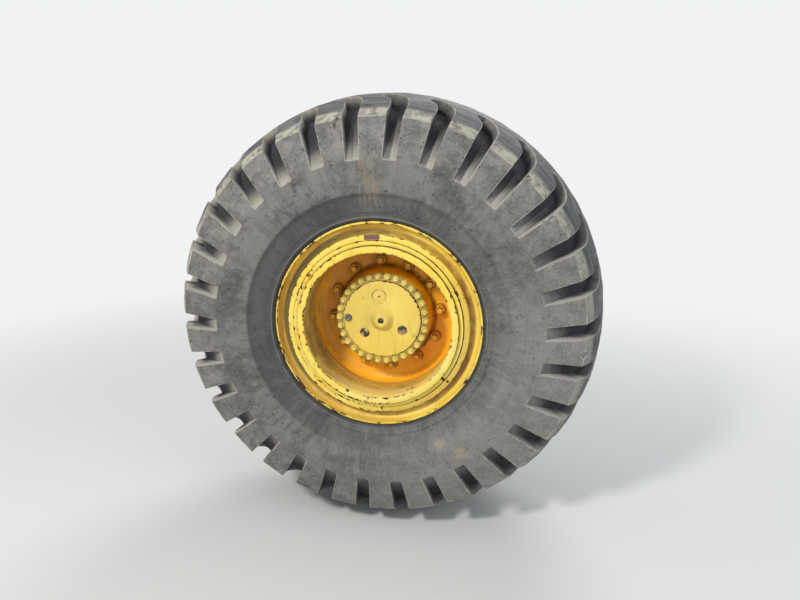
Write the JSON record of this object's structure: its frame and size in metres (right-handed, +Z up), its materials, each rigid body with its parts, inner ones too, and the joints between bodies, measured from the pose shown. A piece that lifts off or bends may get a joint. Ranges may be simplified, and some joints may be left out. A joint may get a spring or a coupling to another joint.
{
  "type": "rough terrain crane wheel end with earthmover tyre, five-piece rim and planetary hub",
  "caption": "Lugged earthmover tyre on a five-piece yellow rim, bolted to a planetary hub with disc brake that turns on a flanged hollow spindle.",
  "frame": {"origin": "centre of the spindle flange's mating face, on the wheel's axis", "axes": "+Y inboard along the wheel's axis, out of the mating face; +Z up; +X to the right seen from outboard"},
  "size_m": [1.6996, 0.7328, 1.7],
  "materials": {
    "tyre": "dusty worn rubber",
    "yellow_paint": "chipped gloss paint",
    "painted_fastener": "painted over",
    "planet_steel": "dirty paint",
    "dark_steel": "oily dark",
    "black_rubber": "matt",
    "brass": "tarnished",
    "worn_iron": "swept bright, rusty edge",
    "pad_compound": "matt",
    "gear_steel": "oily",
    "spindle_iron": "oily, machined faces",
    "grey_paint": "dusty grey"
  },
  "bodies": {
    "spindle": {"spindle": "spindle_iron", "caliper_bracket": "grey_paint", "caliper_front": "grey_paint", "caliper_rear": "grey_paint", "caliper_bolts": "dark_steel", "brake_pads": "pad_compound"},
    "wheel": {"tyre": "tyre", "rim_base": "yellow_paint", "bead_seat_band": "yellow_paint", "lock_ring": "yellow_paint", "flange_outer": "yellow_paint", "flange_inner": "yellow_paint", "wheel_disc": "yellow_paint", "wheel_studs": "painted_fastener", "wheel_nuts": "painted_fastener", "hub": "yellow_paint", "hub_cover": "yellow_paint", "planet_pin_caps": "planet_steel", "cover_bolts": "painted_fastener", "fill_plug": "dark_steel", "centre_plug": "dark_steel", "gear_block": "gear_steel", "hub_seal": "black_rubber", "brake_disc": "worn_iron", "brake_disc_bolts": "dark_steel", "valve_stem": "brass"}
  },
  "joints": [
    {"name": "wheel_roll", "type": "hinge", "parent": "spindle", "child": "wheel", "pos_m": [0, 0, 0], "axis": [0, 1, 0], "continuous": true}
  ]
}
